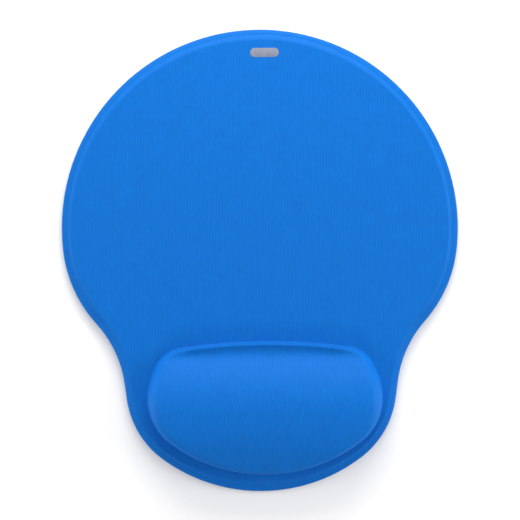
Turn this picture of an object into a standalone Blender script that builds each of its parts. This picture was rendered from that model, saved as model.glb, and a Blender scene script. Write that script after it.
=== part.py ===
"""Mouse mat with a built-in gel wrist rest, as the nine pieces that it comes apart into.

A knitted cover is moulded over a foam sheet and over a gel pad that sits in the sheet's window.
The gel lies between two sealed films whose flange is held under the foam, and a grip base closes
the underside. Films of hot-melt adhesive bond the cover and the base to the foam.

Frame: metres, +Z up, +Y towards the far edge, away from the user. The origin is on the desk, under
the middle of the mat's length and width.
"""

import math

import bmesh
import bpy
from mathutils import Vector

MM = 0.001

# Plan of the mat, as the right half from the far middle round to the near middle. An arc is
# (radius, turn in degrees), with a negative radius where it bends inwards, and a run is
# (length, None). The last arc, which closes the outline on the centre line, is worked out.
MAT_HALF = [
    (105.0 * MM, 96.5),
    (69.0 * MM, 34.0),
    (3.5 * MM, None),
    (-58.5 * MM, 32.5),
    (9.5 * MM, None),
    (47.5 * MM, 45.5),
]

# Plan of the wrist rest where its wall meets the mat, stated in the same way. It is moulded a
# little to the right of the mat's centre line.
REST_HALF = [
    (320 * MM, 8.0),
    (17 * MM, 53.0),
    (41 * MM, 19.0),
    (28.5 * MM, 62.0),
]
REST_FAR_Y = -43.7 * MM
REST_SHIFT_X = 2.0 * MM

# Flat bonded faces keep LAYER_GAP between them, and curved ones, whose facets differ, CURVED_GAP.
LAYER_GAP = 0.1 * MM
CURVED_GAP = 0.3 * MM

# Thicknesses of the layers, and the height of the mat's face above the desk.
BASE_THICKNESS = 1.2 * MM
BOND_THICKNESS = 0.2 * MM
LOWER_FILM_THICKNESS = 0.2 * MM
UPPER_FILM_THICKNESS = 0.3 * MM
FABRIC_THICKNESS = 0.7 * MM
PATCH_THICKNESS = 0.15 * MM
MAT_TOP = 5.0 * MM

# Pressed rim, as (distance in from the mat's edge, height above the desk) of each bend.
FABRIC_RIM_MM = [
    (0.0, 1.3),
    (0.0, 2.5),
    (0.3, 3.15),
    (1.0, 3.45),
    (2.2, 3.65),
    (3.1, 4.45),
    (3.6, 4.85),
    (4.2, 5.0),
]
FOAM_RIM_MM = [(1.0, 1.6), (1.0, 2.3), (1.4, 2.45), (2.5, 2.65), (3.5, 3.45), (4.2, 3.9)]

# Crown of the wrist rest. From the crest it falls steeply towards the far edge, down to a low
# ledge, and gently towards the near and side edges, by these shares of its rise.
REST_RISE = 15.0 * MM
REST_HALF_WIDTH = 62.0 * MM
CREST_FROM_FAR = 40.0 * MM
LEDGE_FROM_CREST = 32.5 * MM
LEDGE_HEIGHT = 3.0 * MM
LEDGE_BLEND = 1.0 * MM
FAR_STEEPENING = 2.5  # power of the distance from the crest
NEAR_DROP = 0.42
SIDE_DROP = 0.12

# The rest's edge: the hollow at the foot of its wall, the wall, and the round shoulder above. The
# hollow hands over to the wall once it has turned up by WALL_TURN degrees.
FILLET_RADIUS = 0.8 * MM
WALL_TURN = 80
WALL_FOOT = FILLET_RADIUS * (1 - math.cos(math.radians(WALL_TURN)))  # height above the mat
WALL_LEAN = 0.08  # run over rise
WALL_SHARE = 0.2  # least share of the edge's height that is wall
SHOULDER_FAR = 2.6 * MM
SHOULDER_NEAR = 3.0 * MM
SHOULDER_SIDE = 5.5 * MM

FLANGE_WIDTH = 3.0 * MM  # of the gel pad's films, outside the rest's wall
REBATE_CLEARANCE = 0.2 * MM  # round the flange
WINDOW_INSET = 0.6 * MM  # of the foam's window inside the rest's wall
LIP_FOOT = -FILLET_RADIUS - 0.4 * MM  # inset at which the foam starts to rise towards the rest
BASE_INSET = 0.3 * MM
BASE_EDGE_ROUND = 0.3 * MM

PATCH_CENTRE = Vector((3.3 * MM, 110.0 * MM))
PATCH_LENGTH = 15.2 * MM
PATCH_WIDTH = 4.8 * MM

AROUND = 72  # points round every ring
PATCH_END_STEPS = 8
WELD_DISTANCE = 0.01 * MM
SHARP_ANGLE = math.radians(40)

BASE_BOND_BOTTOM = BASE_THICKNESS + LAYER_GAP
FOAM_BOTTOM = BASE_BOND_BOTTOM + BOND_THICKNESS + LAYER_GAP
FLANGE_BOTTOM = FOAM_BOTTOM + LOWER_FILM_THICKNESS + LAYER_GAP
FLANGE_TOP = FLANGE_BOTTOM + UPPER_FILM_THICKNESS
REBATE_TOP = FLANGE_TOP + LAYER_GAP
COVER_BOND_BOTTOM = MAT_TOP - FABRIC_THICKNESS - LAYER_GAP - BOND_THICKNESS
FOAM_TOP = COVER_BOND_BOTTOM - LAYER_GAP
FOAM_TOP_INSET = FOAM_RIM_MM[-1][0] * MM
FOAM_SIDE_INSET = FOAM_RIM_MM[0][0] * MM


class Outline:
    """A closed outline of tangent arcs and runs, the same on both sides of its centre line.

    Without a far_y it is centred on the origin's Y.
    """

    def __init__(self, half, far_y=None, centre_x=0.0):
        self.stretches = []
        x, y, heading = 0.0, 0.0, 0.0
        for size, turn in half:
            x, y, heading = self._add(x, y, heading, size, turn)
        left_to_turn = math.pi + heading
        closing_radius = x / math.sin(left_to_turn)
        x, y, heading = self._add(x, y, heading, closing_radius, math.degrees(left_to_turn))
        self.depth = -y
        self.far_middle = Vector((centre_x, self.depth / 2 if far_y is None else far_y))
        self.half_length = sum(stretch[0] for stretch in self.stretches)

    def _add(self, x, y, heading, size, turn):
        """Adds one stretch, turning clockwise from above, and returns where it ends."""
        length = size if turn is None else abs(size) * math.radians(turn)
        curvature = 0.0 if turn is None else 1.0 / size
        self.stretches.append((length, x, y, heading, curvature))
        return self._along(x, y, heading, curvature, length)

    @staticmethod
    def _along(x, y, heading, curvature, distance):
        if curvature == 0.0:
            return x + distance * math.cos(heading), y + distance * math.sin(heading), heading
        end = heading - distance * curvature
        x += (math.sin(heading) - math.sin(end)) / curvature
        y += (math.cos(end) - math.cos(heading)) / curvature
        return x, y, end

    def at(self, share):
        """(point, outward normal) at a share of the way round, clockwise from the far middle."""
        mirrored = share > 0.5
        distance = (1.0 - share if mirrored else share) * 2.0 * self.half_length
        ahead = list(self.stretches)
        while len(ahead) > 1 and distance > ahead[0][0]:
            distance -= ahead.pop(0)[0]
        _, x, y, heading, curvature = ahead[0]
        x, y, heading = self._along(x, y, heading, curvature, distance)
        side = -1.0 if mirrored else 1.0
        normal = Vector((-math.sin(heading) * side, math.cos(heading)))
        return self.far_middle + Vector((x * side, y)), normal

    def ring(self, inset):
        """Points round the outline, moved in by inset."""
        stations = [self.at(i / AROUND) for i in range(AROUND)]
        return [point - normal * inset for point, normal in stations]


MAT = Outline(MAT_HALF)
REST = Outline(REST_HALF, far_y=REST_FAR_Y, centre_x=REST_SHIFT_X)
CREST = Vector((REST_SHIFT_X, REST_FAR_Y - CREST_FROM_FAR))


def raised(point, height):
    return Vector((point.x, point.y, height))


def flat_ring(outline, inset, height):
    return [raised(point, height) for point in outline.ring(inset)]


def shoulder_radius(normal):
    """From the sides' radius to that of the far or the near edge."""
    end = SHOULDER_FAR if normal.y > 0 else SHOULDER_NEAR
    return SHOULDER_SIDE + (end - SHOULDER_SIDE) * abs(normal.y) ** 1.5


def crown(place):
    """Height of the rest's crown above the mat, before its edges are rounded down."""
    along = place.y - CREST.y
    if along > 0:
        fall = (1 - LEDGE_HEIGHT / REST_RISE) * (along / LEDGE_FROM_CREST) ** FAR_STEEPENING
    else:
        fall = NEAR_DROP * (along / (REST.depth - CREST_FROM_FAR)) ** 2
    fall += SIDE_DROP * ((place.x - CREST.x) / REST_HALF_WIDTH) ** 4
    over_ledge = REST_RISE * (1 - fall) - LEDGE_HEIGHT
    return LEDGE_HEIGHT + (over_ledge + math.hypot(over_ledge, LEDGE_BLEND)) / 2


def crest_top():
    return raised(CREST, MAT_TOP + crown(CREST))


def fillet_ring(degrees, clearance=0.0):
    """A ring of the hollow where the mat turns up into the rest's wall, lowered by clearance."""
    turn = math.radians(degrees)
    outset = FILLET_RADIUS - (FILLET_RADIUS + clearance) * math.sin(turn)
    height = MAT_TOP + FILLET_RADIUS - (FILLET_RADIUS + clearance) * math.cos(turn)
    return flat_ring(REST, -outset, height)


def shoulder_ring(degrees):
    """A ring of the rest's rounded edge, from the top of its wall at 0 to the crown at 90."""
    turn = math.radians(degrees)
    ring = []
    for i in range(AROUND):
        point, normal = REST.at(i / AROUND)
        radius = shoulder_radius(normal)
        rise = crown(point - normal * radius) - WALL_FOOT
        lean = WALL_LEAN * max(rise - radius, WALL_SHARE * rise)
        place = point - normal * (lean + radius * (1 - math.cos(turn)))
        top = crown(place)
        rounding = min(radius, (1 - WALL_SHARE) * (top - WALL_FOOT))
        ring.append(raised(place, MAT_TOP + top - rounding * (1 - math.sin(turn))))
    return ring


def crown_ring(share):
    """A ring of the crown, from its edge at 0 in to the crest at 1."""
    places = [edge.to_2d().lerp(CREST, share) for edge in shoulder_ring(90)]
    return [raised(place, MAT_TOP + crown(place)) for place in places]


def rest_rings():
    """The rest from the foot of its wall to the crown's last ring, before the crest."""
    rings = [fillet_ring(WALL_TURN)]
    rings += [shoulder_ring(degrees) for degrees in (0, 24, 48, 70, 90)]
    return rings + [crown_ring(share) for share in (0.09, 0.19, 0.30, 0.43, 0.60, 0.80)]


def ring_pairs(row):
    """Each vertex of a ring with the one after it."""
    return zip(row, row[1:] + row[:1])


def loft(bands, closed_section=False, crest=None):
    """A bmesh skinned over bands of rings, listed from the outside in.

    A band's rings are joined by quads. The flat ground between one band's last ring and the next
    band's first is filled, and closed_section fills it back to the first band too. A crest closes
    the last ring at a point.
    """
    skin = bmesh.new()
    bands = [[[skin.verts.new(point) for point in ring] for ring in band] for band in bands]
    for rows in bands:
        for outer, inner in zip(rows, rows[1:]):
            for (a, b), (c, d) in zip(ring_pairs(outer), ring_pairs(inner)):
                skin.faces.new((a, c, d, b))
    joins = [(band[-1], following[0]) for band, following in zip(bands, bands[1:])]
    if closed_section:
        joins.append((bands[0][0], bands[-1][-1]))
    for join in joins:
        edges = [skin.edges.get(pair) or skin.edges.new(pair) for row in join for pair in ring_pairs(row)]
        bmesh.ops.triangle_fill(skin, use_beauty=True, edges=edges, normal=(0, 0, 1))
    if crest is not None:
        tip = skin.verts.new(crest)
        for here, after in ring_pairs(bands[-1][-1]):
            skin.faces.new((here, tip, after))
    bmesh.ops.recalc_face_normals(skin, faces=skin.faces)
    if not closed_section and sum(face.normal.z * face.calc_area() for face in skin.faces) < 0:
        bmesh.ops.reverse_faces(skin, faces=skin.faces)
    return skin


def gel_pad_skin(depth, below):
    """The rest's shape shrunk inwards by depth, over the rings that below makes of its wall's foot."""
    shape = loft([rest_rings()], crest=crest_top())
    shape.normal_update()
    shrunk = [vert.co - vert.normal * depth for vert in shape.verts]
    shape.free()
    tip = shrunk.pop()
    rings = [shrunk[start : start + AROUND] for start in range(0, len(shrunk), AROUND)]
    return loft([below(rings[0]) + rings], crest=tip)


def material(name, colour, roughness):
    look = bpy.data.materials.new(name)
    look.use_nodes = True
    shader = look.node_tree.nodes["Principled BSDF"]
    shader.inputs["Base Color"].default_value = colour
    shader.inputs["Roughness"].default_value = roughness
    shader.inputs["Metallic"].default_value = 0.0
    look.diffuse_color = colour
    return look


def add_object(name, data, look):
    piece = bpy.data.objects.new(name, data)
    data.materials.append(look)
    COLLECTION.objects.link(piece)
    return piece


def add_skin(name, skin, look):
    mesh = bpy.data.meshes.new(name)
    skin.to_mesh(mesh)
    skin.free()
    mesh.shade_smooth()
    mesh.set_sharp_from_angle(angle=SHARP_ANGLE)
    return add_object(name, mesh, look)


def thicken(piece, thickness):
    """Gives an open skin its thickness, inwards."""
    solid = piece.modifiers.new("thickness", "SOLIDIFY")
    solid.thickness = thickness
    solid.offset = -1.0
    solid.use_even_offset = True


def add_sheet(name, bottom, thickness, look, outline, window=None):
    """A flat sheet with that outline, and a window if there is one."""
    curve = bpy.data.curves.new(name, "CURVE")
    curve.dimensions = "2D"
    curve.fill_mode = "BOTH"
    curve.extrude = thickness / 2
    for points in filter(None, (outline, window)):
        spline = curve.splines.new("POLY")
        spline.points.add(len(points) - 1)
        for vertex, point in zip(spline.points, points):
            vertex.co = (point.x, point.y, 0, 1)
        spline.use_cyclic_u = True
    piece = add_object(name, curve, look)
    piece.location.z = bottom + thickness / 2
    join = piece.modifiers.new("join_faces_to_edge", "WELD")
    join.merge_threshold = WELD_DISTANCE
    return piece


def fabric_cover():
    """The knit, from its trimmed edge up over the pressed rim, across the mat and over the rest."""
    rim = [flat_ring(MAT, inset * MM, height * MM) for inset, height in FABRIC_RIM_MM]
    over_rest = [fillet_ring(degrees) for degrees in (0, 30, 58)] + rest_rings()
    cover = add_skin("fabric_cover", loft([rim, over_rest], crest=crest_top()), COVER_FABRIC)
    thicken(cover, FABRIC_THICKNESS)


def foam_core():
    """The foam sheet: its rim is pressed thin, and a lip round its window backs the cover's hollow."""
    rim = [flat_ring(MAT, inset * MM, height * MM) for inset, height in FOAM_RIM_MM]
    window = [flat_ring(REST, LIP_FOOT, FOAM_TOP)]
    window += [fillet_ring(degrees, FABRIC_THICKNESS + CURVED_GAP) for degrees in (20, 40)]
    window.append([raised(edge, lip.z) for edge, lip in zip(REST.ring(WINDOW_INSET), window[-1])])
    window.append(flat_ring(REST, WINDOW_INSET, REBATE_TOP))
    rebate = -(FLANGE_WIDTH + REBATE_CLEARANCE)
    window.append(flat_ring(REST, rebate, REBATE_TOP))
    window.append(flat_ring(REST, rebate, FOAM_BOTTOM))
    add_skin("foam_core", loft([rim, window], closed_section=True), FOAM)


def gel_upper_film():
    """The gel pad's moulded skin, with the flange that is sealed to the lower film."""

    def flange_and_wall(foot):
        return [flat_ring(REST, -FLANGE_WIDTH, FLANGE_TOP), [raised(point, FLANGE_TOP) for point in foot]]

    skin = gel_pad_skin(FABRIC_THICKNESS + CURVED_GAP, flange_and_wall)
    thicken(add_skin("gel_upper_film", skin, FILM), UPPER_FILM_THICKNESS)


def gel_fill():
    """The gel, flat underneath."""

    def wall(foot):
        return [[raised(point, FLANGE_BOTTOM) for point in foot]]

    skin = gel_pad_skin(FABRIC_THICKNESS + UPPER_FILM_THICKNESS + 2 * CURVED_GAP, wall)
    skin.verts.ensure_lookup_table()
    skin.faces.new(skin.verts[:AROUND])
    bmesh.ops.recalc_face_normals(skin, faces=skin.faces)
    add_skin("gel_fill", skin, GEL)


def gel_lower_film():
    add_sheet("gel_lower_film", FOAM_BOTTOM, LOWER_FILM_THICKNESS, FILM, REST.ring(-FLANGE_WIDTH))


def cover_bond_film():
    """The adhesive between the foam's face and the cover, which stops short of the rim and the rest."""
    outline = MAT.ring(FOAM_TOP_INSET + 2 * LAYER_GAP)
    add_sheet("cover_bond_film", COVER_BOND_BOTTOM, BOND_THICKNESS, BOND_FILM, outline, REST.ring(LIP_FOOT))


def base_bond_film():
    add_sheet("base_bond_film", BASE_BOND_BOTTOM, BOND_THICKNESS, BOND_FILM, MAT.ring(FOAM_SIDE_INSET))


def nonslip_base():
    base = add_sheet("nonslip_base", 0.0, BASE_THICKNESS, GRIP_BASE, MAT.ring(BASE_INSET))
    edge = base.modifiers.new("moulded_edge", "BEVEL")
    edge.width = BASE_EDGE_ROUND
    edge.segments = 2


def transfer_patch():
    """A plain printed bar with round ends, near the far edge."""
    radius = PATCH_WIDTH / 2
    end = Vector((PATCH_LENGTH / 2 - radius, 0.0))
    outline = []
    for side in (1, -1):
        for i in range(PATCH_END_STEPS + 1):
            angle = math.pi * (0.5 - i / PATCH_END_STEPS)
            outline.append(PATCH_CENTRE + side * (end + radius * Vector((math.cos(angle), math.sin(angle)))))
    add_sheet("transfer_patch", MAT_TOP + LAYER_GAP, PATCH_THICKNESS, PRINT, outline)


for old in list(bpy.data.objects):
    bpy.data.objects.remove(old, do_unlink=True)
COLLECTION = bpy.data.collections.new("wrist_rest_mouse_mat")
bpy.context.scene.collection.children.link(COLLECTION)

COVER_FABRIC = material("cover_fabric", (0.010, 0.172, 0.665, 1.0), roughness=0.75)
GRIP_BASE = material("grip_base", (0.035, 0.037, 0.042, 1.0), roughness=0.6)
FOAM = material("foam", (0.30, 0.32, 0.35, 1.0), roughness=0.85)
GEL = material("gel", (0.25, 0.50, 0.80, 1.0), roughness=0.15)
FILM = material("film", (0.75, 0.78, 0.80, 1.0), roughness=0.25)
BOND_FILM = material("bond_film", (0.75, 0.78, 0.80, 1.0), roughness=0.5)
PRINT = material("print", (0.42, 0.42, 0.43, 1.0), roughness=0.5)

fabric_cover()
foam_core()
cover_bond_film()
gel_upper_film()
gel_fill()
gel_lower_film()
base_bond_film()
nonslip_base()
transfer_patch()
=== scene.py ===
import math

import bmesh
import bpy
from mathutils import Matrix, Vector, noise


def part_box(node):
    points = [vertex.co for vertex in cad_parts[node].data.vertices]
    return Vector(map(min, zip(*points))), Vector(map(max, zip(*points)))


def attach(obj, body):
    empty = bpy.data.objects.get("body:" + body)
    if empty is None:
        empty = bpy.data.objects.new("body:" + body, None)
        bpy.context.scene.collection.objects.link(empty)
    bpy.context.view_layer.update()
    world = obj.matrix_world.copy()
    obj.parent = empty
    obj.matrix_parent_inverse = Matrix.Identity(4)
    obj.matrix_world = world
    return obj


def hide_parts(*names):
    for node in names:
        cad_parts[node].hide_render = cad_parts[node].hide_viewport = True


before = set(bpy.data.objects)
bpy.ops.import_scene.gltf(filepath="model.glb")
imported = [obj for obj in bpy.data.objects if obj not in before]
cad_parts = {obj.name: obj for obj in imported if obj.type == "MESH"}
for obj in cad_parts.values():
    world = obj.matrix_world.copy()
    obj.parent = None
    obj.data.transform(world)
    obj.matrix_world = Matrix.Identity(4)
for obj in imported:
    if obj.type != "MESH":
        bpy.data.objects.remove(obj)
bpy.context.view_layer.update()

# A round mouse mat with a waist, a lobe at its near end and a cushion-shaped gel rest on the lobe.
# The far end is towards +Y.

MM = 0.001
cover_low, cover_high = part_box("fabric_cover")
gel_low, gel_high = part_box("gel_fill")
patch_low, patch_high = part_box("transfer_patch")
foam_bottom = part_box("foam_core")[0].z
base_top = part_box("nonslip_base")[1].z
lower_film_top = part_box("gel_lower_film")[1].z

# ---- Plan. Half outlines of the mat and of the rest, as (radius, turn in degrees) arcs and
# (length, None) runs, clockwise from the far middle. The arc that closes each is worked out.

MAT_HALF = [
    (105.0 * MM, 96.5),
    (69.0 * MM, 34.0),
    (3.5 * MM, None),
    (-58.5 * MM, 32.5),
    (9.5 * MM, None),
    (47.5 * MM, 45.5),
]
REST_HALF = [
    (320 * MM, 8.0),
    (17 * MM, 53.0),
    (41 * MM, 19.0),
    (28.5 * MM, 62.0),
]
GEL_INSET = 1.6 * MM  # of the gel from the rest's outline
REST_X = (gel_low.x + gel_high.x) / 2
REST_FAR_Y = gel_high.y + GEL_INSET
REST_HALF_WIDTH = (gel_high.x - gel_low.x) / 2 + GEL_INSET
CREST_FROM_FAR = 40.0 * MM

# ---- Layers and heights

LAYER_GAP = 0.1 * MM  # between bonded layers
KNIT = 0.7 * MM
BOND_FILM = 0.2 * MM
PAD_FILM = 0.3 * MM
PAD_CLEARANCE = 0.3 * MM  # between the cover, the pad's film and the gel
MAT_TOP = patch_low.z - LAYER_GAP
EDGE_BOTTOM = cover_low.z
REST_RISE = cover_high.z - MAT_TOP

# ---- Rim: a rounded corner, a pressed band and a step up to the mat's face. The step is wider
# at the far end, and lower and nearer the edge along the lobe.

EDGE_RUN = 0.5 * MM  # upright, above the trimmed edge
EDGE_CORNER, EDGE_TURN = 0.7 * MM, math.radians(80)
BAND_SLOPE = 0.45 * MM
STEP_DROP, STEP_DROP_LOBE = 1.3 * MM, 0.5 * MM
STEP_FAR, STEP_ROUND, STEP_LOBE = 3.8 * MM, 4.1 * MM, 2.7 * MM  # of its middle, in from the edge
STEP_HALF, STEP_HALF_FAR = 1.1 * MM, 2.1 * MM
LOBE_START, LOBE_FULL = -20 * MM, -58 * MM  # Y where the step starts to fade and is lowest
STEP_WAVER, WAVER_SIZE, WAVER_SEED = 0.1 * MM, 30 * MM, 1.0
GUARD = 0.2 * MM  # flat cloth beside a bend

# ---- Edge of the rest: a dip in the mat at the far side, a hollow, a steep wall and a shoulder.

DIP_REACH, DIP_DEPTH = 12 * MM, 0.9 * MM
DIP_START = 0.5  # Y of the rest's outward normal where the dip starts
FILLET_FAR, FILLET_ROUND, FILLET_POWER = 1.2 * MM, 0.7 * MM, 4
WALL_TURN = math.radians(80)
WALL_LEAN = 0.08  # distance in for each unit of the wall's height
WALL_SHARE = 0.2  # least part of the rise that is wall
SHOULDER_FAR, SHOULDER_SIDE, SHOULDER_NEAR = 1.7 * MM, 6.5 * MM, 1.8 * MM
SHOULDER_FAR_POWER, SHOULDER_NEAR_POWER = 1.5, 1.0  # of its narrowing from the sides to there
PAD_CORNER = 0.4 * MM  # least shoulder of the layers under the cover

# ---- Crown of the rest: steep towards the far edge, down to a ledge that ends in a low ridge,
# and gentle towards the near edge and the sides. Drops are shares of the rise.

LEDGE_FROM_CREST, LEDGE_HEIGHT, LEDGE_BLEND = 32.5 * MM, 3.0 * MM, 2.0 * MM
FAR_POWER = 2.5
NEAR_DROP, NEAR_POWER = 0.42, 2
SIDE_DROP, SIDE_POWER = 0.12, 4
RIDGE_WIDTH, RIDGE_HEIGHT = 4.8 * MM, 2.4 * MM
RIDGE_FULL, RIDGE_FADE = 36 * MM, 14 * MM  # of its length, each side of the middle
SLOPE_REACH = 0.2 * MM  # each side of a place, to measure the crown's slope
STRETCH_FADE = 1.4  # how soon the cloth's stretch eases off, from the shoulder to the crest

# ---- Foam, adhesive and gel pad under the cover

FOAM_DEPTH = KNIT + 2 * LAYER_GAP + BOND_FILM  # of the foam's face below the cover's
FOAM_SIDE = 1.0 * MM  # in from the mat's edge
FOAM_CORNER_LOW, FOAM_CORNER_HIGH, FOAM_CORNER_IN = 0.25 * MM, 0.05 * MM, 0.2 * MM  # of its bevel
ADHESIVE_EDGE = 6.4 * MM  # in from the mat's edge
WINDOW_INSET, WINDOW_BEVEL = 0.6 * MM, 0.3 * MM
FLANGE_WIDTH = 3.0 * MM
FLANGE_CLEARANCE = 0.2 * MM
FLANGE_TOP = lower_film_top + LAYER_GAP + PAD_FILM
REBATE_TOP = FLANGE_TOP + LAYER_GAP
FILM_DEPTH = KNIT + PAD_CLEARANCE
GEL_DEPTH = FILM_DEPTH + PAD_FILM + PAD_CLEARANCE
FLANGE_SECTION = [  # (distance in from the wall's foot, height), from the flange's edge
    (-FLANGE_WIDTH - FILM_DEPTH, FLANGE_TOP),
    (-0.5 * MM, FLANGE_TOP),
    (-0.15 * MM, FLANGE_TOP + 0.1 * MM),
    (0.0, FLANGE_TOP + 0.4 * MM),
]
GEL_FOOT = [  # the same for the gel, from its underside
    (0.3 * MM, gel_low.z),
    (0.1 * MM, gel_low.z + 0.1 * MM),
    (0.0, gel_low.z + 0.3 * MM),
]

# ---- Non-slip base: a border round a field of low round nubs on a hexagonal grid

NUB_PITCH = 5.5 * MM
NUB_FIELD = 0.35 * MM  # height of the field that the nubs stand down from
NUB_MARGIN = 5.4 * MM  # least distance from a nub's middle to the mat's edge
NUB_RINGS = [(1.7 * MM, 1.0), (1.5 * MM, 0.3), (1.1 * MM, 0.0)]  # (radius, share of the field)
NUB_TURN = 30  # degrees from +X to a cell's first corner
BASE_INSET = 0.3 * MM
BASE_SECTION = [  # (distance in from the sheet's side, height), from its top to its field
    (0.0, base_top),
    (0.0, 0.2 * MM),
    (0.07 * MM, 0.06 * MM),
    (0.25 * MM, 0.0),
    (1.3 * MM, 0.0),
    (1.45 * MM, 0.1 * MM),
    (1.55 * MM, NUB_FIELD),
]

# ---- Printed bar

PRINT_LIFT, PRINT_THICKNESS = 0.02 * MM, 0.08 * MM
PRINT_SECTION = [(0.0, 0.0), (0.02 * MM, 0.6), (0.1 * MM, 1.0)]  # (inset, share of thickness)

# ---- Fineness of the meshes

FINE = 360  # points round the rings of the cover and the base's border
INNER = 180  # points round the rings of the layers between them
EDGE_STEPS = 6
BAND_STEPS = 5
STEP_STEPS = 12
FOAM_RIM_ROWS = STEP_STEPS + 3  # of the cover's section, from the end of its pressed band
DIP_STEPS = 8
HOLLOW_STEPS = 8
SHOULDER_STEPS = 16
CROWN_STEPS = 32
NUB_SIDES = 12  # two for each side of a cell
PRINT_END_STEPS = 24


class Outline:
    """A closed outline of tangent arcs and runs, the same on both sides of its centre line."""

    def __init__(self, half, far_y=None, centre_x=0.0):
        self.stretches = []
        x, y, heading = 0.0, 0.0, 0.0
        for size, turn in half:
            x, y, heading = self._add(x, y, heading, size, turn)
        left_to_turn = math.pi + heading
        closing_radius = x / math.sin(left_to_turn)
        _, y, _ = self._add(x, y, heading, closing_radius, math.degrees(left_to_turn))
        self.depth = -y
        self.far_middle = Vector((centre_x, self.depth / 2 if far_y is None else far_y))
        self.half_length = sum(stretch[0] for stretch in self.stretches)

    def _add(self, x, y, heading, size, turn):
        length = size if turn is None else abs(size) * math.radians(turn)
        curvature = 0.0 if turn is None else 1.0 / size
        self.stretches.append((length, x, y, heading, curvature))
        return self._along(x, y, heading, curvature, length)

    @staticmethod
    def _along(x, y, heading, curvature, distance):
        if curvature == 0.0:
            return x + distance * math.cos(heading), y + distance * math.sin(heading), heading
        end = heading - distance * curvature
        x += (math.sin(heading) - math.sin(end)) / curvature
        y += (math.cos(end) - math.cos(heading)) / curvature
        return x, y, end

    def at(self, share):
        """(point, outward normal) at a share of the way round, clockwise from the far middle."""
        mirrored = share > 0.5
        distance = (1.0 - share if mirrored else share) * 2.0 * self.half_length
        ahead = list(self.stretches)
        while len(ahead) > 1 and distance > ahead[0][0]:
            distance -= ahead.pop(0)[0]
        _, x, y, heading, curvature = ahead[0]
        x, y, heading = self._along(x, y, heading, curvature, distance)
        side = -1.0 if mirrored else 1.0
        normal = Vector((-math.sin(heading) * side, math.cos(heading)))
        return self.far_middle + Vector((x * side, y)), normal

    def stations(self, count):
        return [self.at(i / count) for i in range(count)]


MAT = Outline(MAT_HALF)
REST = Outline(REST_HALF, far_y=REST_FAR_Y, centre_x=REST_X)
CREST = Vector((REST_X, REST_FAR_Y - CREST_FROM_FAR))


def mix(start, end, share):
    return start + (end - start) * share


def smooth(t):
    t = min(1.0, max(0.0, t))
    return t * t * (3 - 2 * t)


def raised(point, height):
    return Vector((point.x, point.y, height))


def direction(angle):
    return Vector((math.cos(angle), math.sin(angle)))


# ---- Sections, as lists of (distance in from the outline, height)


def rim_section(point, normal):
    """From the trimmed edge up the side, across the pressed band and up the step."""
    far = max(0.0, normal.y)
    lobe = smooth((LOBE_START - point.y) / (LOBE_START - LOBE_FULL)) * abs(normal.x)
    waver = noise.noise(Vector((point.x / WAVER_SIZE, point.y / WAVER_SIZE, WAVER_SEED)))
    step = mix(mix(STEP_ROUND, STEP_FAR, far), STEP_LOBE, lobe) + STEP_WAVER * waver
    half = mix(STEP_HALF, STEP_HALF_FAR, far)
    band_high = MAT_TOP - mix(STEP_DROP, STEP_DROP_LOBE, lobe)
    corner_foot = band_high - BAND_SLOPE - EDGE_CORNER
    section = [(0.0, EDGE_BOTTOM), (0.0, EDGE_BOTTOM + EDGE_RUN)]
    for i in range(EDGE_STEPS + 1):
        turn = EDGE_TURN * i / EDGE_STEPS
        inset = EDGE_CORNER * (1 - math.cos(turn))
        section.append((inset, corner_foot + EDGE_CORNER * math.sin(turn)))
    band_start, band_low = section[-1]
    band_end = step - half
    for i in range(1, BAND_STEPS):
        t = i / BAND_STEPS
        section.append((mix(band_start, band_end, t), mix(band_low, band_high, t)))
    for i in range(STEP_STEPS + 1):
        t = i / STEP_STEPS
        section.append((band_end + 2 * half * t, mix(band_high, MAT_TOP, smooth(t))))
    section.append((step + half + GUARD, MAT_TOP))
    return section


def crown(place):
    """Height of the rest's crown above the mat, before its edges are rounded down."""
    along = place.y - CREST.y
    across = abs(place.x - CREST.x)
    if along > 0:
        fall = (1 - LEDGE_HEIGHT / REST_RISE) * (along / LEDGE_FROM_CREST) ** FAR_POWER
    else:
        fall = NEAR_DROP * (along / (REST.depth - CREST_FROM_FAR)) ** NEAR_POWER
    fall += SIDE_DROP * (across / REST_HALF_WIDTH) ** SIDE_POWER
    over_ledge = REST_RISE * (1 - fall) - LEDGE_HEIGHT
    far_radius = REST_HALF[0][0]
    from_far = far_radius - (place - REST.far_middle + Vector((0.0, far_radius))).length
    ridge = RIDGE_HEIGHT * max(0.0, 1 - from_far / RIDGE_WIDTH) ** 2
    ridge *= 1 - smooth((across - RIDGE_FULL) / RIDGE_FADE)
    return LEDGE_HEIGHT + (over_ledge + math.hypot(over_ledge, LEDGE_BLEND)) / 2 + ridge


def crown_height(place, depth=0.0):
    """Height above the desk of the crown, or of a layer that deep below its face."""
    slopes = []
    for way in (Vector((SLOPE_REACH, 0.0)), Vector((0.0, SLOPE_REACH))):
        slopes.append((crown(place + way) - crown(place - way)) / (2 * SLOPE_REACH))
    return MAT_TOP + crown(place) - depth * math.hypot(1.0, *slopes)


def hollow(normal):
    """(radius of the hollow at the wall's foot, share of the dip in the mat beside it)."""
    fillet = mix(FILLET_ROUND, FILLET_FAR, max(0.0, normal.y) ** FILLET_POWER)
    return fillet, smooth((normal.y - DIP_START) / (1 - DIP_START))


def beside_rest(normal, below=0.0):
    """The mat from where the dip starts to the hollow, or a layer that far below its face."""
    fillet, dip = hollow(normal)
    reach = GUARD + DIP_REACH * dip
    rows = []
    for i in range(DIP_STEPS + 1):
        t = i / DIP_STEPS
        rows.append((-fillet - reach * (1 - t), MAT_TOP - below - DIP_DEPTH * dip * smooth(t)))
    return rows


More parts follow.
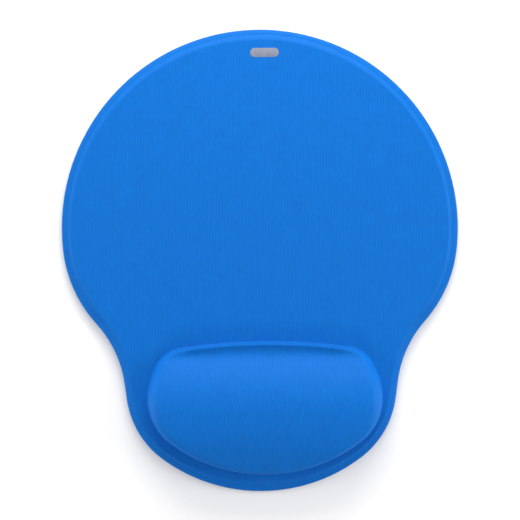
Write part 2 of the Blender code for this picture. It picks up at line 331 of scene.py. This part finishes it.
def wall_and_shoulder(point, normal, depth=0.0):
    """From the top of the rest's hollow over its shoulder, or a layer that deep below the face."""
    fillet, dip = hollow(normal)
    foot_inset = fillet * (math.sin(WALL_TURN) - 1)
    foot = MAT_TOP - DIP_DEPTH * dip + fillet * (1 - math.cos(WALL_TURN))
    if normal.y > 0:
        end, power = SHOULDER_FAR, SHOULDER_FAR_POWER
    else:
        end, power = SHOULDER_NEAR, SHOULDER_NEAR_POWER
    shoulder = mix(SHOULDER_SIDE, end, abs(normal.y) ** power)
    rise = crown_height(point - normal * shoulder) - foot
    lean = WALL_LEAN * max(rise - shoulder, WALL_SHARE * rise)
    radius = max(shoulder - depth, PAD_CORNER)
    rows = [(foot_inset + depth, foot)]
    for i in range(SHOULDER_STEPS + 1):
        turn = math.radians(90 * i / SHOULDER_STEPS)
        inset = foot_inset + lean + depth + radius * (1 - math.cos(turn))
        top = crown_height(point - normal * inset, depth)
        rounding = min(radius, (1 - WALL_SHARE) * (top - foot))
        rows.append((inset, top - rounding * (1 - math.sin(turn))))
    return rows


def rest_section(point, normal):
    """From the mat beside the rest through the hollow, up the wall and over the shoulder."""
    fillet, _ = hollow(normal)
    section = beside_rest(normal)
    floor_height = section[-1][1]
    for i in range(1, HOLLOW_STEPS):
        turn = WALL_TURN * i / HOLLOW_STEPS
        rise = fillet * (1 - math.cos(turn))
        section.append((fillet * math.sin(turn) - fillet, floor_height + rise))
    return section + wall_and_shoulder(point, normal)


# ---- Meshes


def section_rings(stations, section, flat_row=0):
    """Rings of (place, place in the flat cloth), from a section at each station of an outline.

    The cloth lies where it was cut at flat_row, and is laid out from there along the section.
    """
    rows = [section(point, normal) for point, normal in stations]
    rings = [[] for _ in rows[0]]
    for (point, normal), row in zip(stations, rows):
        run = [0.0]
        for (inset, height), (next_inset, next_height) in zip(row, row[1:]):
            run.append(run[-1] + math.hypot(next_inset - inset, next_height - height))
        for ring, (inset, height), along in zip(rings, row, run):
            cloth = point - normal * (row[flat_row][0] + along - run[flat_row])
            ring.append((raised(point - normal * inset, height), cloth))
    return rings


def crown_rings(edge, depth=0.0):
    """Rings from inside the shoulder's last one to the one before the crest."""
    rings = []
    for i in range(1, CROWN_STEPS):
        t = i / CROWN_STEPS
        ring = []
        for place, cloth in edge:
            flat = place.to_2d().lerp(CREST, t)
            stretch = (cloth - place.to_2d()) * (1 - smooth(t * STRETCH_FADE))
            ring.append((raised(flat, crown_height(flat, depth)), flat + stretch))
        rings.append(ring)
    return rings


def ring_pairs(ring):
    """Each item with the next one, round a closed ring."""
    return zip(ring, ring[1:] + ring[:1])


def ring_edges(skin, ring):
    return [skin.edges.get(pair) or skin.edges.new(pair) for pair in ring_pairs(ring)]


def bridge(skin, rings):
    """Faces between each ring of verts and the next."""
    for outer, inner in zip(rings, rings[1:]):
        for (a, b), (c, d) in zip(ring_pairs(outer), ring_pairs(inner)):
            skin.faces.new((a, c, d, b))


def fill_ground(skin, edges):
    """Level faces inside the loops of edges, with holes where loops lie inside each other."""
    bmesh.ops.triangle_fill(skin, use_beauty=True, edges=edges, normal=(0, 0, 1))


def lay_out_cloth(skin, cloth_place):
    """The UVs of a knitted piece: places in the flat cloth, in metres."""
    uv = skin.loops.layers.uv.new("cloth")
    for face in skin.faces:
        for loop in face.loops:
            loop[uv].uv = cloth_place(loop.vert)


def loft(bands, crest=None, closed_section=False):
    """A skin over bands of rings of (place, cloth place), with ground filled between bands."""
    skin = bmesh.new()
    cloth_of = {}

    def grow(place, cloth):
        vert = skin.verts.new(place)
        cloth_of[vert] = cloth
        return vert

    bands = [[[grow(*corner) for corner in ring] for ring in band] for band in bands]
    for rings in bands:
        bridge(skin, rings)
    joins = [(band[-1], following[0]) for band, following in zip(bands, bands[1:])]
    if closed_section:
        joins.append((bands[0][0], bands[-1][-1]))
    for ring, facing in joins:
        fill_ground(skin, ring_edges(skin, ring) + ring_edges(skin, facing))
    if crest is not None:
        tip = grow(*crest)
        for here, after in ring_pairs(bands[-1][-1]):
            skin.faces.new((here, tip, after))
    bmesh.ops.recalc_face_normals(skin, faces=skin.faces)
    if not closed_section and sum(face.normal.z * face.calc_area() for face in skin.faces) < 0:
        bmesh.ops.reverse_faces(skin, faces=skin.faces)
    lay_out_cloth(skin, cloth_of.get)
    return skin


def add_mesh(name, skin, look, sharp=50):
    mesh = bpy.data.meshes.new(name)
    skin.to_mesh(mesh)
    skin.free()
    mesh.materials.append(look)
    mesh.shade_smooth()
    mesh.set_sharp_from_angle(angle=math.radians(sharp))
    piece = bpy.data.objects.new(name, mesh)
    bpy.context.scene.collection.objects.link(piece)
    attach(piece, "root")
    return piece


def thicken(piece, thickness):
    """Thickness below the piece's face."""
    solid = piece.modifiers.new("thickness", "SOLIDIFY")
    solid.thickness = thickness
    solid.offset = -1.0
    solid.use_even_offset = True


# ---- Materials


class Nodes:
    """A short way to build a material's nodes."""

    def __init__(self, name):
        self.material = bpy.data.materials.new(name)
        self.material.use_nodes = True
        self.tree = self.material.node_tree
        self.shader = self.tree.nodes["Principled BSDF"]
        self.shader.inputs["Metallic"].default_value = 0.0

    def add(self, kind, **settings):
        node = self.tree.nodes.new(kind)
        for key, value in settings.items():
            setattr(node, key, value)
        return node

    def link(self, source, target):
        self.tree.links.new(source, target)

    def shade(self, socket, source):
        self.link(source, self.shader.inputs[socket])

    def set(self, **values):
        for key, value in values.items():
            self.shader.inputs[key.replace("_", " ")].default_value = value

    def scaled(self, vector, scale):
        mapping = self.add("ShaderNodeMapping")
        mapping.inputs["Scale"].default_value = scale
        self.link(vector, mapping.inputs["Vector"])
        return mapping.outputs["Vector"]

    def noise(self, vector, scale, detail=2.0, roughness=0.5, output="Fac"):
        node = self.add("ShaderNodeTexNoise")
        node.inputs["Scale"].default_value = scale
        node.inputs["Detail"].default_value = detail
        node.inputs["Roughness"].default_value = roughness
        self.link(vector, node.inputs["Vector"])
        return node.outputs[output]

    def math(self, operation, *values):
        node = self.add("ShaderNodeMath", operation=operation)
        for socket, value in zip(node.inputs, values):
            if isinstance(value, (int, float)):
                socket.default_value = value
            else:
                self.link(value, socket)
        return node.outputs["Value"]

    def total(self, *parts):
        """Sum of (value, weight) parts."""
        result = 0.0
        for value, weight in parts:
            result = self.math("MULTIPLY_ADD", value, weight, result)
        return result

    def ramp(self, fac, stops):
        node = self.add("ShaderNodeValToRGB")
        while len(node.color_ramp.elements) < len(stops):
            node.color_ramp.elements.new(0.5)
        for element, (position, colour) in zip(node.color_ramp.elements, stops):
            element.position = position
            element.color = (*colour, 1.0)
        self.link(fac, node.inputs["Fac"])
        return node.outputs["Color"]

    def bump(self, height, strength, distance, normal=None):
        node = self.add("ShaderNodeBump")
        node.inputs["Strength"].default_value = strength
        node.inputs["Distance"].default_value = distance
        self.link(height, node.inputs["Height"])
        if normal is not None:
            self.link(normal, node.inputs["Normal"])
        return node.outputs["Normal"]


RIB, COURSE = 0.8 * MM, 0.55 * MM  # widths of a rib and of a course of loops
WANDER, WANDER_SCALE = 0.25 * MM, 300  # of the yarn, with its features per metre
LOOP_LEAN = 1.6  # radians of a course by which a loop's legs lie behind its middle
LOOP_RELIEF = 0.25  # share of a rib's height by which it rises and falls along its length
STREAK_SCALE = (1100, 280, 1)  # features per metre, across and along the ribs
STITCH_BUMP, STITCH_DEPTH = 0.5, 0.15 * MM
STREAK_BUMP, STREAK_DEPTH = 0.25, 0.25 * MM
MOTTLE_SCALE = 120
KNIT_BLUES = [
    (0.2, (0.0, 0.108, 0.43)),
    (0.5, (0.0, 0.130, 0.50)),
    (0.8, (0.0, 0.155, 0.58)),
]
INK_GREYS = [
    (0.18, (0.06, 0.15, 0.34)),
    (0.36, (0.21, 0.22, 0.27)),
    (0.75, (0.27, 0.265, 0.28)),
]


def knit_nodes(nodes, cloth):
    """(height of the stitches, streaks along the ribs), both about 0 to 1."""
    wobble = nodes.add("ShaderNodeVectorMath", operation="MULTIPLY_ADD")
    nodes.link(nodes.noise(cloth, WANDER_SCALE, output="Color"), wobble.inputs[0])
    wobble.inputs[1].default_value = (WANDER, WANDER, 0)
    nodes.link(cloth, wobble.inputs[2])
    place = nodes.add("ShaderNodeSeparateXYZ")
    nodes.link(wobble.outputs["Vector"], place.inputs["Vector"])
    across = nodes.math("MULTIPLY", place.outputs["X"], 2 * math.pi / RIB)
    rib = nodes.math("MULTIPLY_ADD", nodes.math("COSINE", across), 0.5, 0.5)
    legs = nodes.math("ABSOLUTE", nodes.math("SINE", nodes.math("MULTIPLY", across, 0.5)))
    lean = nodes.math("MULTIPLY", legs, LOOP_LEAN)
    along = nodes.math("MULTIPLY_ADD", place.outputs["Y"], 2 * math.pi / COURSE, lean)
    loop = nodes.math("MULTIPLY_ADD", nodes.math("SINE", along), LOOP_RELIEF, 1 - LOOP_RELIEF)
    stitch = nodes.math("MULTIPLY", rib, loop)
    streak = nodes.noise(nodes.scaled(cloth, STREAK_SCALE), 1.0, detail=3.0, roughness=0.6)
    return stitch, streak


def knit_material():
    """Blue rib knit, streaked along its ribs and a little mottled, with painted shade in the
    hollows between its stitches.
    """
    nodes = Nodes("cover_fabric")
    cloth = nodes.add("ShaderNodeUVMap", uv_map="cloth").outputs["UV"]
    stitch, streak = knit_nodes(nodes, cloth)
    mottle = nodes.noise(cloth, MOTTLE_SCALE, detail=4.0)
    # The stitch height darkens the colour in the hollows between ribs and loops: painted shade.
    # The streaks and mottle are the yarn's own tone.
    tone = nodes.total((streak, 0.5), (stitch, 0.25), (mottle, 0.25))
    nodes.shade("Base Color", nodes.ramp(tone, KNIT_BLUES))
    nodes.set(Roughness=0.6, Specular_IOR_Level=0.13)
    weave = nodes.bump(stitch, STITCH_BUMP, STITCH_DEPTH)
    nodes.shade("Normal", nodes.bump(streak, STREAK_BUMP, STREAK_DEPTH, weave))
    return nodes.material


def ink_material():
    """Grey ink on the ribs of the knit, worn thin in the hollows between them."""
    nodes = Nodes("print")
    cloth = nodes.add("ShaderNodeUVMap", uv_map="cloth").outputs["UV"]
    stitch, streak = knit_nodes(nodes, cloth)
    tone = nodes.total((stitch, 0.45), (streak, 0.55))
    nodes.shade("Base Color", nodes.ramp(tone, INK_GREYS))
    nodes.set(Roughness=0.55, Specular_IOR_Level=0.2)
    nodes.shade("Normal", nodes.bump(stitch, STITCH_BUMP, STITCH_DEPTH))
    return nodes.material


GRAIN_BUMP = 0.4
ROUGHNESS_SPREAD = 0.2


def plain_material(name, colour, roughness, grain, depth, spread=0.25, **settings):
    """A surface with a fine grain in its colour, roughness and relief.

    grain and depth are the grain's size and relief, and spread is how far its colour strays.
    """
    nodes = Nodes(name)
    place = nodes.add("ShaderNodeTexCoord").outputs["Object"]
    fine = nodes.noise(place, 1 / grain, detail=5.0, roughness=0.6)
    dark = tuple(c * (1 - spread) for c in colour)
    light = tuple(min(1.0, c * (1 + spread)) for c in colour)
    nodes.shade("Base Color", nodes.ramp(fine, [(0.3, dark), (0.7, light)]))
    smoothest = roughness - ROUGHNESS_SPREAD / 2
    nodes.shade("Roughness", nodes.math("MULTIPLY_ADD", fine, ROUGHNESS_SPREAD, smoothest))
    nodes.shade("Normal", nodes.bump(fine, GRAIN_BUMP, depth))
    nodes.set(**settings)
    return nodes.material


CLEAR = (0.75, 0.78, 0.80)
KNIT_LOOK = knit_material()
INK_LOOK = ink_material()
FOAM_LOOK = plain_material("foam", (0.30, 0.32, 0.35), 0.85, 0.35 * MM, 0.1 * MM)
BOND_LOOK = plain_material(
    "bond_film", CLEAR, 0.5, 1.2 * MM, 0.02 * MM, 0.06, Transmission_Weight=0.3
)
FILM_LOOK = plain_material("film", CLEAR, 0.25, 2.0 * MM, 0.01 * MM, 0.04, Transmission_Weight=0.5)
GEL_LOOK = plain_material(
    "gel", (0.25, 0.50, 0.80), 0.15, 3.0 * MM, 0.02 * MM, 0.1, Transmission_Weight=0.4
)
RUBBER_LOOK = plain_material(
    "grip_base", (0.035, 0.037, 0.042), 0.7, 0.25 * MM, 0.04 * MM, 0.35
)


# ---- Pieces


def fabric_cover():
    """The knitted cover, in one piece over the mat, down its side and over the rest."""
    rim = section_rings(MAT.stations(FINE), rim_section, flat_row=-1)
    rest = section_rings(REST.stations(FINE), rest_section)
    rest += crown_rings(rest[-1])
    crest = (raised(CREST, crown_height(CREST)), CREST)
    cover = add_mesh("knit_cover", loft([rim, rest], crest=crest), KNIT_LOOK)
    thicken(cover, KNIT)
    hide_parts("fabric_cover")


def foam_sheet():
    """Foam sheet with a thin pressed rim, a window for the gel pad and a rebate for its flange."""

    def rim(point, normal):
        face = [(inset, height - FOAM_DEPTH) for inset, height in rim_section(point, normal)]
        face = face[-FOAM_RIM_ROWS:]
        low = face[0][1]
        side = [(FOAM_SIDE, foam_bottom), (FOAM_SIDE, low - FOAM_CORNER_LOW)]
        return side + [(FOAM_SIDE + FOAM_CORNER_IN, low - FOAM_CORNER_HIGH)] + face

    def window(_point, normal):
        rebate = -FLANGE_WIDTH - FLANGE_CLEARANCE
        rows = beside_rest(normal, FOAM_DEPTH)
        face = rows[-1][1]
        rows += [(WINDOW_INSET - WINDOW_BEVEL, face), (WINDOW_INSET, face - WINDOW_BEVEL)]
        return rows + [(WINDOW_INSET, REBATE_TOP), (rebate, REBATE_TOP), (rebate, foam_bottom)]

    bands = [section_rings(MAT.stations(INNER), rim), section_rings(REST.stations(INNER), window)]
    foam = add_mesh("foam_sheet", loft(bands, closed_section=True), FOAM_LOOK, sharp=35)
    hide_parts("foam_core")


def cover_adhesive():
    """Film of hot-melt adhesive that follows the foam's face under the cover."""
    depth = KNIT + LAYER_GAP

    def outer(_point, _normal):
        return [(ADHESIVE_EDGE, MAT_TOP - depth)]

    def inner(_point, normal):
        return beside_rest(normal, depth)

    bands = [section_rings(MAT.stations(INNER), outer), section_rings(REST.stations(INNER), inner)]
    film = add_mesh("cover_adhesive", loft(bands), BOND_LOOK)
    thicken(film, BOND_FILM)
    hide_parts("cover_bond_film")


def gel_pad_layer(name, depth, foot, look):
    """A layer of the gel pad, that deep below the cover's face, over the rows of its foot."""

    def section(point, normal):
        rows = wall_and_shoulder(point, normal, depth)
        return [(rows[0][0] + inset, height) for inset, height in foot] + rows

    rings = section_rings(REST.stations(INNER), section)
    rings += crown_rings(rings[-1], depth)
    crest = (raised(CREST, crown_height(CREST, depth)), CREST)
    return add_mesh(name, loft([rings], crest=crest), look)


def close_bottom(piece):
    """A level face across the open foot of a piece."""
    skin = bmesh.new()
    skin.from_mesh(piece.data)
    bmesh.ops.holes_fill(skin, edges=skin.edges)
    bmesh.ops.recalc_face_normals(skin, faces=skin.faces)
    skin.to_mesh(piece.data)
    skin.free()


def gel_pad():
    """The gel and the moulded film over it, with the flange that is sealed to the flat film."""
    film = gel_pad_layer("pad_film", FILM_DEPTH, FLANGE_SECTION, FILM_LOOK)
    thicken(film, PAD_FILM)
    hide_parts("gel_upper_film")
    gel = gel_pad_layer("gel_cushion", GEL_DEPTH, GEL_FOOT, GEL_LOOK)
    close_bottom(gel)
    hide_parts("gel_fill")


def nub_places():
    """Middles of the grid's cells that lie wholly inside the mat."""
    stations = MAT.stations(INNER)
    row_pitch = NUB_PITCH * math.sqrt(3) / 2
    rows = int(MAT.depth / 2 / row_pitch)
    columns = int(rows * row_pitch / NUB_PITCH) + 1
    places = []
    for row in range(-rows, rows + 1):
        for column in range(-columns, columns + 1):
            place = Vector(((column + row % 2 / 2) * NUB_PITCH, row * row_pitch))
            edge, normal = min(stations, key=lambda station: (station[0] - place).length_squared)
            if (edge - place).dot(normal) > NUB_MARGIN:
                places.append(place)
    return places


def add_nub(skin, place, corners):
    """One cell of the field with its nub. Neighbours share verts, which corners keeps."""
    cell = []
    for i in range(6):
        corner = place + NUB_PITCH / math.sqrt(3) * direction(math.radians(NUB_TURN + 60 * i))
        key = (round(corner.x / (NUB_PITCH / 2)), round(corner.y / (NUB_PITCH / math.sqrt(12))))
        if key not in corners:
            corners[key] = skin.verts.new(raised(corner, NUB_FIELD))
        cell.append(corners[key])
    rings = []
    for radius, share in NUB_RINGS:
        ring = []
        for i in range(NUB_SIDES):
            side = direction(math.radians(NUB_TURN + 360 * i / NUB_SIDES))
            ring.append(skin.verts.new(raised(place + radius * side, NUB_FIELD * share)))
        rings.append(ring)
    foot = rings[0] + rings[0][:1]
    for i, (corner, following) in enumerate(ring_pairs(cell)):
        here, between, after = foot[2 * i : 2 * i + 3]
        skin.faces.new((corner, here, between))
        skin.faces.new((corner, between, following))
        skin.faces.new((following, between, after))
    bridge(skin, rings)
    skin.faces.new(rings[-1])


def grip_base():
    """The non-slip sheet under the mat."""
    skin = bmesh.new()
    corners = {}
    for place in nub_places():
        add_nub(skin, place, corners)
    field_edges = [edge for edge in skin.edges if len(edge.link_faces) == 1]
    rings = []
    for inset, height in BASE_SECTION:
        ring = []
        for point, normal in MAT.stations(FINE):
            ring.append(skin.verts.new(raised(point - normal * (BASE_INSET + inset), height)))
        rings.append(ring)
    bridge(skin, rings)
    fill_ground(skin, field_edges + ring_edges(skin, rings[-1]))
    fill_ground(skin, ring_edges(skin, rings[0]))
    bmesh.ops.recalc_face_normals(skin, faces=skin.faces)
    base = add_mesh("grip_base_sheet", skin, RUBBER_LOOK, sharp=40)
    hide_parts("nonslip_base")


def printed_bar():
    """A plain bar with round ends, of ink that lies on the knit."""
    radius = (patch_high.y - patch_low.y) / 2
    middle = Vector(((patch_low.x + patch_high.x) / 2, (patch_low.y + patch_high.y) / 2))
    end = Vector(((patch_high.x - patch_low.x) / 2 - radius, 0.0))
    outline = []
    for side in (1, -1):
        for i in range(PRINT_END_STEPS + 1):
            outward = side * direction(math.pi * (0.5 - i / PRINT_END_STEPS))
            outline.append((middle + side * end + outward * radius, outward))
    skin = bmesh.new()
    rings = []
    for inset, share in PRINT_SECTION:
        height = MAT_TOP + PRINT_LIFT + share * PRINT_THICKNESS
        places = [raised(point - outward * inset, height) for point, outward in outline]
        rings.append([skin.verts.new(place) for place in places])
    bridge(skin, rings)
    skin.faces.new(rings[0])
    skin.faces.new(rings[-1])
    bmesh.ops.recalc_face_normals(skin, faces=skin.faces)
    lay_out_cloth(skin, lambda vert: vert.co.to_2d())
    bar = add_mesh("printed_bar", skin, INK_LOOK)
    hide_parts("transfer_patch")


fabric_cover()
foam_sheet()
cover_adhesive()
gel_pad()
grip_base()
printed_bar()
for node, look in (("gel_lower_film", FILM_LOOK), ("base_bond_film", BOND_LOOK)):
    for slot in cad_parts[node].material_slots:
        slot.material = look

# ---- Stage, light and camera

FLOOR_SIZE, FLOOR_DROP = 6.0, 0.05 * MM
WORLD_STRENGTH = 0.6
LENS = 150.0
VIEW_WIDTH = 275.6 * MM
VIEW_PLANE = 3 * MM  # height above the desk at which the view is that wide
CAMERA_X, CAMERA_Y = -0.06 * MM, 0.20 * MM
CAMERA_ROLL = math.radians(-0.52)
CAMERA_REACH = 50.0  # farthest that it sees


def pale_floor():
    """A plain matt floor, just under the mat."""
    mesh = bpy.data.meshes.new("floor")
    grid = bmesh.new()
    bmesh.ops.create_grid(grid, x_segments=1, y_segments=1, size=FLOOR_SIZE / 2)
    grid.to_mesh(mesh)
    grid.free()
    white = Nodes("floor_white")
    white.set(Base_Color=(0.93, 0.93, 0.93, 1.0), Roughness=0.9, Specular_IOR_Level=0.0)
    mesh.materials.append(white.material)
    floor = bpy.data.objects.new("floor", mesh)
    floor.location.z = -FLOOR_DROP
    bpy.context.scene.collection.objects.link(floor)


def softbox(name, azimuth, elevation, distance, size, power):
    """A light aimed at the origin, with its azimuth in degrees clockwise from +Y."""
    azimuth, elevation = math.radians(azimuth), math.radians(elevation)
    flat = distance * math.cos(elevation)
    height = distance * math.sin(elevation)
    data = bpy.data.lights.new(name, "AREA")
    data.shape = "RECTANGLE"
    data.size, data.size_y = size
    data.energy = power
    lamp = bpy.data.objects.new(name, data)
    lamp.location = (flat * math.sin(azimuth), flat * math.cos(azimuth), height)
    lamp.rotation_mode = "QUATERNION"
    lamp.rotation_quaternion = (-lamp.location).to_track_quat("-Z", "Y")
    bpy.context.scene.collection.objects.link(lamp)


def soft_world():
    world = bpy.data.worlds.new("studio")
    world.use_nodes = True
    background = world.node_tree.nodes["Background"]
    background.inputs["Color"].default_value = (1, 1, 1, 1)
    background.inputs["Strength"].default_value = WORLD_STRENGTH
    bpy.context.scene.world = world


def top_camera():
    """A camera straight above the mat, turned a little."""
    data = bpy.data.cameras.new("camera")
    data.lens = LENS
    data.clip_end = CAMERA_REACH
    camera = bpy.data.objects.new("camera", data)
    distance = VIEW_WIDTH * LENS / data.sensor_width
    camera.location = (CAMERA_X, CAMERA_Y, distance + VIEW_PLANE)
    camera.rotation_euler = (0, 0, CAMERA_ROLL)
    bpy.context.scene.collection.objects.link(camera)
    bpy.context.scene.camera = camera


pale_floor()
softbox("back_softbox", 0, 25, 0.62, (0.6, 0.3), 4.7)
softbox("right_softbox", 95, 18, 0.85, (0.4, 0.3), 4.4)
softbox("left_softbox", -95, 14, 0.85, (0.4, 0.3), 3.43)
softbox("near_softbox", 150, 35, 1.0, (0.5, 0.5), 0.6)
soft_world()
top_camera()
bpy.context.scene.view_settings.view_transform = "Standard"
